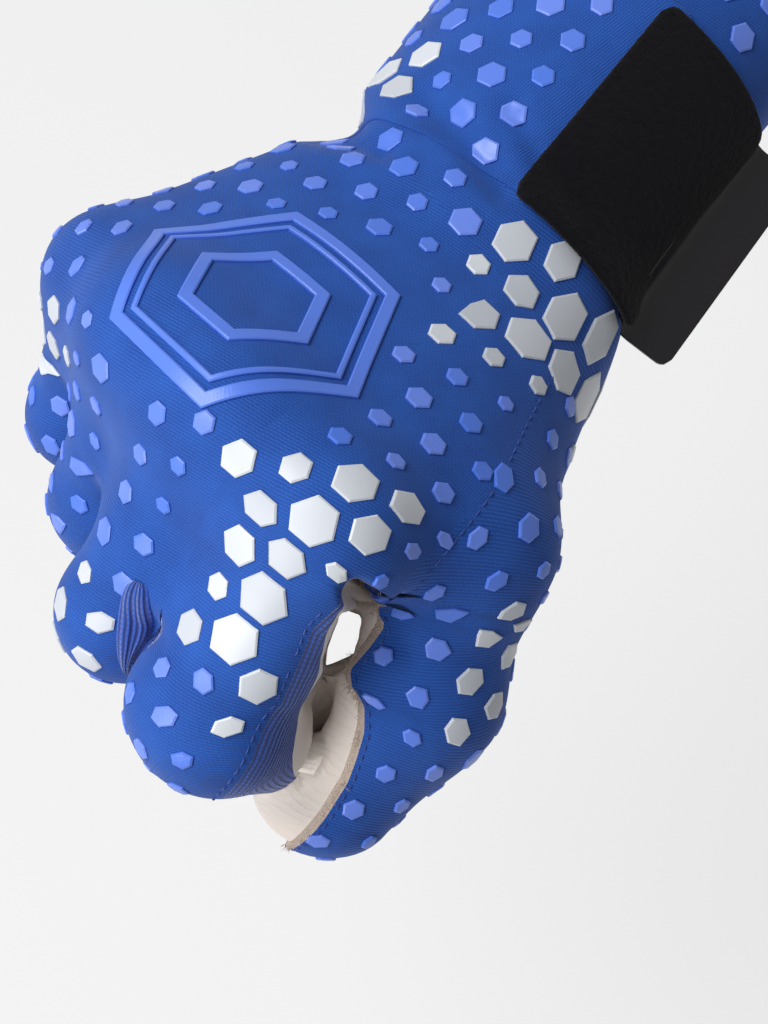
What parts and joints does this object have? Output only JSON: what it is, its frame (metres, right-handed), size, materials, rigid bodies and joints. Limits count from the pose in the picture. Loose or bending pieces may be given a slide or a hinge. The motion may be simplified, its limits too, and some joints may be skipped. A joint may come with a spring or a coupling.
{
  "type": "padded sports glove",
  "caption": "Right-hand padded grip glove closed in a loose fist: fabric back with raised hexagon print, foam latex palm side, rib-knit finger walls and a peel-off wrist strap.",
  "frame": {"origin": "centre of the wrist opening at the cuff mouth", "axes": "+X up the arm out of the wrist opening, +Y to the little-finger side, +Z out of the back of the wrist; the fist lies on the -X side, bent back about 27 degrees"},
  "size_m": [0.2174, 0.1242, 0.0947],
  "materials": {
    "fabric": "fine ribbed blue stretch fabric with raised silicone hexagons",
    "knit": "blue rib knit",
    "latex": "matt cream foam latex",
    "lining": "smooth stretch lining",
    "binding": "woven tape",
    "strap_loop": "black brushed loop pile",
    "hook_and_loop": "black hook tape",
    "pull_tab": "glossy black moulded tab"
  },
  "bodies": {
    "cuff": {"cuff_back": "fabric", "cuff_palm": "fabric", "cuff_elastic_sides": "knit", "cuff_binding": "binding", "wrist_lining": "lining", "strap_band": "fabric", "strap_landing_patch": "hook_and_loop"},
    "strap_flap": {"strap_loop_flap": "strap_loop", "strap_hook_pad": "hook_and_loop", "strap_pull_tab": "pull_tab"},
    "hand": {"hand_back": "fabric", "hand_palm": "latex", "hand_thumb_gusset": "knit", "hand_little_gusset": "knit", "thumb_root_sleeve": "fabric", "thumb_knuckle_lining": "lining", "index_knuckle_lining": "lining", "middle_knuckle_lining": "lining", "ring_knuckle_lining": "lining", "little_knuckle_lining": "lining"},
    "thumb": {"thumb_back": "fabric", "thumb_palm": "latex", "thumb_gussets": "knit", "thumb_tip": "latex"},
    "index_proximal": {"index_proximal_back": "fabric", "index_proximal_palm": "latex", "index_proximal_gussets": "knit", "index_joint_lining": "lining"},
    "index_distal": {"index_distal_back": "fabric", "index_distal_palm": "latex", "index_distal_gussets": "knit", "index_tip": "latex"},
    "middle_proximal": {"middle_proximal_back": "fabric", "middle_proximal_palm": "latex", "middle_proximal_gussets": "knit", "middle_joint_lining": "lining"},
    "middle_distal": {"middle_distal_back": "fabric", "middle_distal_palm": "latex", "middle_distal_gussets": "knit", "middle_tip": "latex"},
    "ring_proximal": {"ring_proximal_back": "fabric", "ring_proximal_palm": "latex", "ring_proximal_gussets": "knit", "ring_joint_lining": "lining"},
    "ring_distal": {"ring_distal_back": "fabric", "ring_distal_palm": "latex", "ring_distal_gussets": "knit", "ring_tip": "latex"},
    "little_proximal": {"little_proximal_back": "fabric", "little_proximal_palm": "latex", "little_proximal_gussets": "knit", "little_joint_lining": "lining"},
    "little_distal": {"little_distal_back": "fabric", "little_distal_palm": "latex", "little_distal_gussets": "knit", "little_tip": "latex"}
  },
  "joints": [
    {"name": "wrist_bend", "type": "hinge", "parent": "cuff", "child": "hand", "pos_m": [-0.093, 0.0015, 0.004], "axis": [0.2028, 0.9792, 0], "range_deg": [-27, 12]},
    {"name": "strap_peel", "type": "hinge", "parent": "cuff", "child": "strap_flap", "pos_m": [-0.085, -0.01328, 0.03158], "axis": [-1, 0, 0], "range_deg": [0, 80]},
    {"name": "thumb_base", "type": "hinge", "parent": "hand", "child": "thumb", "pos_m": [-0.1487, -0.04589, 0.01245], "axis": [-0.3329, 0.9055, 0.263], "range_deg": [0, 45]},
    {"name": "index_knuckle", "type": "hinge", "parent": "hand", "child": "index_proximal", "pos_m": [-0.16826, -0.0253, 0.03811], "axis": [0.2028, 0.9792, 0], "range_deg": [0, 60]},
    {"name": "index_middle", "type": "hinge", "parent": "index_proximal", "child": "index_distal", "pos_m": [-0.20551, -0.01758, 0.01225], "axis": [0.2028, 0.9792, 0], "range_deg": [0, 75]},
    {"name": "middle_knuckle", "type": "hinge", "parent": "hand", "child": "middle_proximal", "pos_m": [-0.16213, 0.0005, 0.04221], "axis": [0.2028, 0.9792, 0], "range_deg": [0, 68]},
    {"name": "middle_middle", "type": "hinge", "parent": "middle_proximal", "child": "middle_distal", "pos_m": [-0.19711, 0.00774, 0.00723], "axis": [0.2028, 0.9792, 0], "range_deg": [0, 75]},
    {"name": "ring_knuckle", "type": "hinge", "parent": "hand", "child": "ring_proximal", "pos_m": [-0.15416, 0.02407, 0.03783], "axis": [0.2028, 0.9792, 0], "range_deg": [0, 78]},
    {"name": "ring_middle", "type": "hinge", "parent": "ring_proximal", "child": "ring_distal", "pos_m": [-0.17722, 0.02885, -0.00168], "axis": [0.2028, 0.9792, 0], "range_deg": [0, 75]},
    {"name": "little_knuckle", "type": "hinge", "parent": "hand", "child": "little_proximal", "pos_m": [-0.14531, 0.04583, 0.02382], "axis": [0.2028, 0.9792, 0], "range_deg": [0, 78]},
    {"name": "little_middle", "type": "hinge", "parent": "little_proximal", "child": "little_distal", "pos_m": [-0.16359, 0.04961, -0.00812], "axis": [0.2028, 0.9792, 0], "range_deg": [0, 75]}
  ]
}
